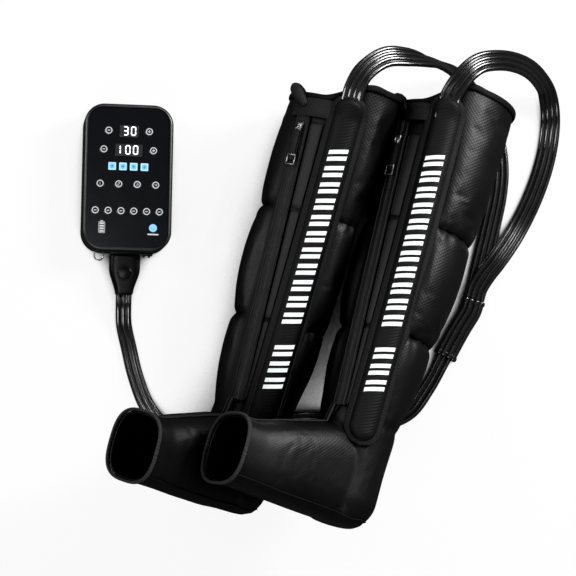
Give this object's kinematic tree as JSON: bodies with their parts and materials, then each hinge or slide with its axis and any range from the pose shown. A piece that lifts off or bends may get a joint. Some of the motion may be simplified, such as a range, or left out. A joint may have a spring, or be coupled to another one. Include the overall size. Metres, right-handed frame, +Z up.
{
  "type": "compression therapy pump",
  "caption": "Hand-held air pump with button panel, quick-release multi-tube hose and a pair of zipped leg boots with air chambers",
  "frame": {"origin": "centre of the flat back of the pump, on the surface that the kit lies on", "axes": "+Z up, out of the lying pump's button panel; +Y toward the top of the picture, along the leg boots; +X toward its right"},
  "size_m": [0.6594, 0.7168, 0.2732],
  "materials": {
    "housing_plastic": "moulded, fine matt texture",
    "bezel_plastic": "satin dark grey",
    "panel_gloss": "polished black",
    "board_plastic": "lacquered board",
    "lamp_plastic": "clear blue lenses",
    "cell_wrap": "shrink wrap",
    "steel": "turned steel",
    "brass": "turned brass",
    "inner_plastic": "natural nylon",
    "socket_plastic": "moulded black",
    "soft_rubber": "soft moulded",
    "chrome": "plated",
    "plug_plastic": "half gloss black",
    "key_plastic": "gloss black with pale ring",
    "hose_vinyl": "shiny vinyl",
    "collar_rubber": "ribbed soft rubber",
    "boot_fabric": "coated weave with diamond emboss",
    "bladder_film": "welded coated fabric",
    "binding_fabric": "woven edge binding",
    "strip_fabric": "twill with woven borders",
    "strap_webbing": "herringbone webbing",
    "tape_fabric": "coil zipper tape"
  },
  "bodies": {
    "pump": {"rear_housing": "housing_plastic", "front_bezel": "bezel_plastic", "keypad_panel": "panel_gloss", "display_module": "board_plastic", "mode_lamp_block": "lamp_plastic", "control_board": "board_plastic", "battery_pack": "cell_wrap", "compressor_motor": "steel", "compressor_head": "inner_plastic", "valve_manifold": "inner_plastic", "outlet_socket": "socket_plastic", "charging_jack": "socket_plastic", "lanyard_loop": "chrome", "case_screw_1": "steel", "case_screw_2": "steel", "case_screw_3": "steel", "case_screw_4": "steel"},
    "boots_and_hoses": {"plug_housing": "plug_plastic", "trunk_hose": "hose_vinyl", "junction_collar": "collar_rubber", "left_ribbon_hose": "hose_vinyl", "right_ribbon_hose": "hose_vinyl", "left_outer_cover": "boot_fabric", "left_air_bladder": "bladder_film", "left_top_binding": "binding_fabric", "left_toe_binding": "binding_fabric", "left_hose_cover": "strip_fabric", "left_closing_strap": "strap_webbing", "left_zipper_tape": "tape_fabric", "right_outer_cover": "boot_fabric", "right_air_bladder": "bladder_film", "right_top_binding": "binding_fabric", "right_toe_binding": "binding_fabric", "right_hose_cover": "strip_fabric", "right_closing_strap": "strap_webbing", "right_zipper_tape": "tape_fabric"},
    "key_time_down": {"key_time_down": "key_plastic"},
    "key_time_up": {"key_time_up": "key_plastic"},
    "key_pressure_down": {"key_pressure_down": "key_plastic"},
    "key_pressure_up": {"key_pressure_up": "key_plastic"},
    "key_mode_1": {"key_mode_1": "key_plastic"},
    "key_mode_2": {"key_mode_2": "key_plastic"},
    "key_mode_3": {"key_mode_3": "key_plastic"},
    "key_mode_4": {"key_mode_4": "key_plastic"},
    "key_zone_1": {"key_zone_1": "key_plastic"},
    "key_zone_2": {"key_zone_2": "key_plastic"},
    "key_zone_3": {"key_zone_3": "key_plastic"},
    "key_zone_4": {"key_zone_4": "key_plastic"},
    "key_zone_5": {"key_zone_5": "key_plastic"},
    "key_zone_6": {"key_zone_6": "key_plastic"},
    "key_power": {"key_power": "key_plastic"},
    "hose_release_button": {"hose_release_button": "plug_plastic"},
    "port_cover": {"port_cover": "soft_rubber"},
    "motor_eccentric": {"motor_eccentric": "brass"},
    "left_zipper_slider": {"left_zipper_slider": "chrome"},
    "left_zipper_pull": {"left_zipper_pull": "strap_webbing"},
    "right_zipper_slider": {"right_zipper_slider": "chrome"},
    "right_zipper_pull": {"right_zipper_pull": "strap_webbing"}
  },
  "joints": [
    {"name": "hose_plug", "type": "slide", "parent": "pump", "child": "boots_and_hoses", "axis": [0.2487, -0.9686, 0], "range_m": [0, 0.03]},
    {"name": "key_time_down_press", "type": "slide", "parent": "pump", "child": "key_time_down", "axis": [0, 0, -1], "range_m": [0, 0.0006], "stiffness_N_per_m": 300},
    {"name": "key_time_up_press", "type": "slide", "parent": "pump", "child": "key_time_up", "axis": [0, 0, -1], "range_m": [0, 0.0006], "stiffness_N_per_m": 300},
    {"name": "key_pressure_down_press", "type": "slide", "parent": "pump", "child": "key_pressure_down", "axis": [0, 0, -1], "range_m": [0, 0.0006], "stiffness_N_per_m": 300},
    {"name": "key_pressure_up_press", "type": "slide", "parent": "pump", "child": "key_pressure_up", "axis": [0, 0, -1], "range_m": [0, 0.0006], "stiffness_N_per_m": 300},
    {"name": "key_mode_1_press", "type": "slide", "parent": "pump", "child": "key_mode_1", "axis": [0, 0, -1], "range_m": [0, 0.0006], "stiffness_N_per_m": 300},
    {"name": "key_mode_2_press", "type": "slide", "parent": "pump", "child": "key_mode_2", "axis": [0, 0, -1], "range_m": [0, 0.0006], "stiffness_N_per_m": 300},
    {"name": "key_mode_3_press", "type": "slide", "parent": "pump", "child": "key_mode_3", "axis": [0, 0, -1], "range_m": [0, 0.0006], "stiffness_N_per_m": 300},
    {"name": "key_mode_4_press", "type": "slide", "parent": "pump", "child": "key_mode_4", "axis": [0, 0, -1], "range_m": [0, 0.0006], "stiffness_N_per_m": 300},
    {"name": "key_zone_1_press", "type": "slide", "parent": "pump", "child": "key_zone_1", "axis": [0, 0, -1], "range_m": [0, 0.0006], "stiffness_N_per_m": 300},
    {"name": "key_zone_2_press", "type": "slide", "parent": "pump", "child": "key_zone_2", "axis": [0, 0, -1], "range_m": [0, 0.0006], "stiffness_N_per_m": 300},
    {"name": "key_zone_3_press", "type": "slide", "parent": "pump", "child": "key_zone_3", "axis": [0, 0, -1], "range_m": [0, 0.0006], "stiffness_N_per_m": 300},
    {"name": "key_zone_4_press", "type": "slide", "parent": "pump", "child": "key_zone_4", "axis": [0, 0, -1], "range_m": [0, 0.0006], "stiffness_N_per_m": 300},
    {"name": "key_zone_5_press", "type": "slide", "parent": "pump", "child": "key_zone_5", "axis": [0, 0, -1], "range_m": [0, 0.0006], "stiffness_N_per_m": 300},
    {"name": "key_zone_6_press", "type": "slide", "parent": "pump", "child": "key_zone_6", "axis": [0, 0, -1], "range_m": [0, 0.0006], "stiffness_N_per_m": 300},
    {"name": "key_power_press", "type": "slide", "parent": "pump", "child": "key_power", "axis": [0, 0, -1], "range_m": [0, 0.0006], "stiffness_N_per_m": 300},
    {"name": "hose_release_press", "type": "slide", "parent": "boots_and_hoses", "child": "hose_release_button", "axis": [0, 0, -1], "range_m": [0, 0.0025], "stiffness_N_per_m": 400},
    {"name": "port_cover_swing", "type": "hinge", "parent": "pump", "child": "port_cover", "pos_m": [0.06094, -0.09059, 0.018], "axis": [0, 0, 1], "range_deg": [0, 100]},
    {"name": "motor_turn", "type": "hinge", "parent": "pump", "child": "motor_eccentric", "pos_m": [-0.01429, 0.03556, 0.0153], "axis": [0.9686, 0.2487, 0], "continuous": true},
    {"name": "left_zipper_travel", "type": "slide", "parent": "boots_and_hoses", "child": "left_zipper_slider", "axis": [0.0397, -0.9985, -0.0378], "range_m": [0, 0.31]},
    {"name": "left_zipper_pull_lift", "type": "hinge", "parent": "left_zipper_slider", "child": "left_zipper_pull", "pos_m": [0.19628, 0.11539, 0.14457], "axis": [-0.771, -0.0066, -0.6368], "range_deg": [0, 120]},
    {"name": "right_zipper_travel", "type": "slide", "parent": "boots_and_hoses", "child": "right_zipper_slider", "axis": [0.0148, -0.9916, 0.1288], "range_m": [0, 0.31]},
    {"name": "right_zipper_pull_lift", "type": "hinge", "parent": "right_zipper_slider", "child": "right_zipper_pull", "pos_m": [0.33092, 0.14055, 0.13096], "axis": [-0.6176, -0.1104, -0.7787], "range_deg": [0, 33]}
  ]
}
